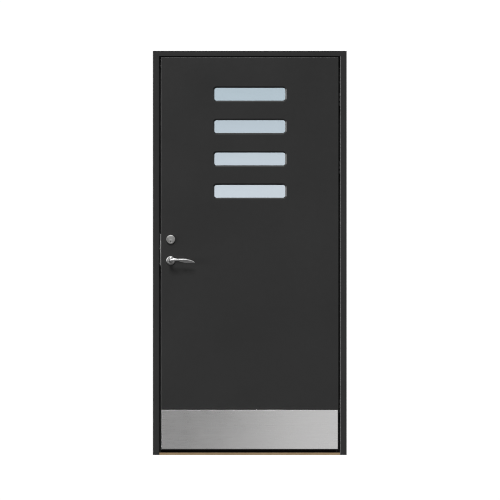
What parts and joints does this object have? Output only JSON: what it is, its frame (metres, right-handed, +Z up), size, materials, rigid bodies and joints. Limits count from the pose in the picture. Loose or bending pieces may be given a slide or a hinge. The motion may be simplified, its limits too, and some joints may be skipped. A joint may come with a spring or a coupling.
{
  "type": "front door with frame",
  "caption": "Outward-opening insulated front door in its frame, with slot windows, a kick plate, a lever handle, a lock cylinder and concealed hinges.",
  "frame": {"origin": "middle of the threshold's underside: half-way between the jambs, in the middle of the frame's depth, at floor level", "axes": "+Z up; +Y from outside to inside; +X to the right seen from outside, from the lock side to the hinge side"},
  "size_m": [0.998, 0.1736, 2.08],
  "materials": {
    "frame_paint": "satin anthracite paint on timber",
    "leaf_paint": "satin anthracite paint",
    "bead_paint": "satin anthracite paint",
    "oak": "oiled oak",
    "seal_rubber": "matte",
    "pane_glass": "pale blue-grey, sealed unit",
    "core_foam": "rigid foam",
    "brushed_sheet": "brushed stainless, grain along the width",
    "hinge_casting": "black-coated casting",
    "hinge_steel": "blackened steel",
    "lever_steel": "polished stainless",
    "rose_steel": "satin stainless",
    "cylinder_steel": "satin nickel",
    "lock_steel": "satin zinc"
  },
  "bodies": {
    "frame": {"hinge_jamb": "frame_paint", "lock_jamb": "frame_paint", "head": "frame_paint", "hinge_stop": "frame_paint", "lock_stop": "frame_paint", "head_stop": "frame_paint", "threshold": "oak", "seal_hinge_side": "seal_rubber", "seal_lock_side": "seal_rubber", "seal_head": "seal_rubber", "seal_threshold": "seal_rubber", "strike_plate": "lock_steel", "hinge_cups_frame": "hinge_casting"},
    "leaf": {"leaf_outer_skin": "leaf_paint", "leaf_inner_skin": "leaf_paint", "leaf_core": "core_foam", "leaf_hinge_stile": "leaf_paint", "leaf_lock_stile": "leaf_paint", "leaf_top_rail": "leaf_paint", "leaf_bottom_rail": "leaf_paint", "glass_1": "pane_glass", "glass_2": "pane_glass", "glass_3": "pane_glass", "glass_4": "pane_glass", "window_beads_outer": "bead_paint", "window_beads_inner": "bead_paint", "kick_plate": "brushed_sheet", "lock_faceplate": "lock_steel", "edge_guard": "lock_steel", "latch_bolt": "lock_steel", "dead_bolt": "lock_steel", "cylinder_ring": "cylinder_steel", "lock_cylinder": "cylinder_steel", "cylinder_plug": "cylinder_steel", "turn_rose": "rose_steel", "thumb_turn": "rose_steel", "rose_outer": "rose_steel", "rose_inner": "rose_steel", "hinge_cups_leaf": "hinge_casting"},
    "hinge_links": {"hinge_links": "hinge_steel"},
    "handle": {"lever_outer": "lever_steel", "lever_inner": "lever_steel", "spindle": "lock_steel"}
  },
  "joints": [
    {"name": "leaf_swing", "type": "hinge", "parent": "frame", "child": "leaf", "pos_m": [0.458, -0.0495, 1], "axis": [0, 0, 1], "range_deg": [0, 90]},
    {"name": "link_swing", "type": "hinge", "parent": "frame", "child": "hinge_links", "pos_m": [0.458, -0.0495, 1], "axis": [0, 0, 1], "range_deg": [0, 45]},
    {"name": "handle_turn", "type": "hinge", "parent": "leaf", "child": "handle", "pos_m": [-0.4065, -0.0185, 1.001], "axis": [0, 1, 0], "range_deg": [0, 40], "stiffness_Nm_per_rad": 1.5, "springref_deg": -40.11}
  ],
  "couplings": [
    {"joint": "link_swing", "follows": "leaf_swing", "ratio": 0.5}
  ]
}
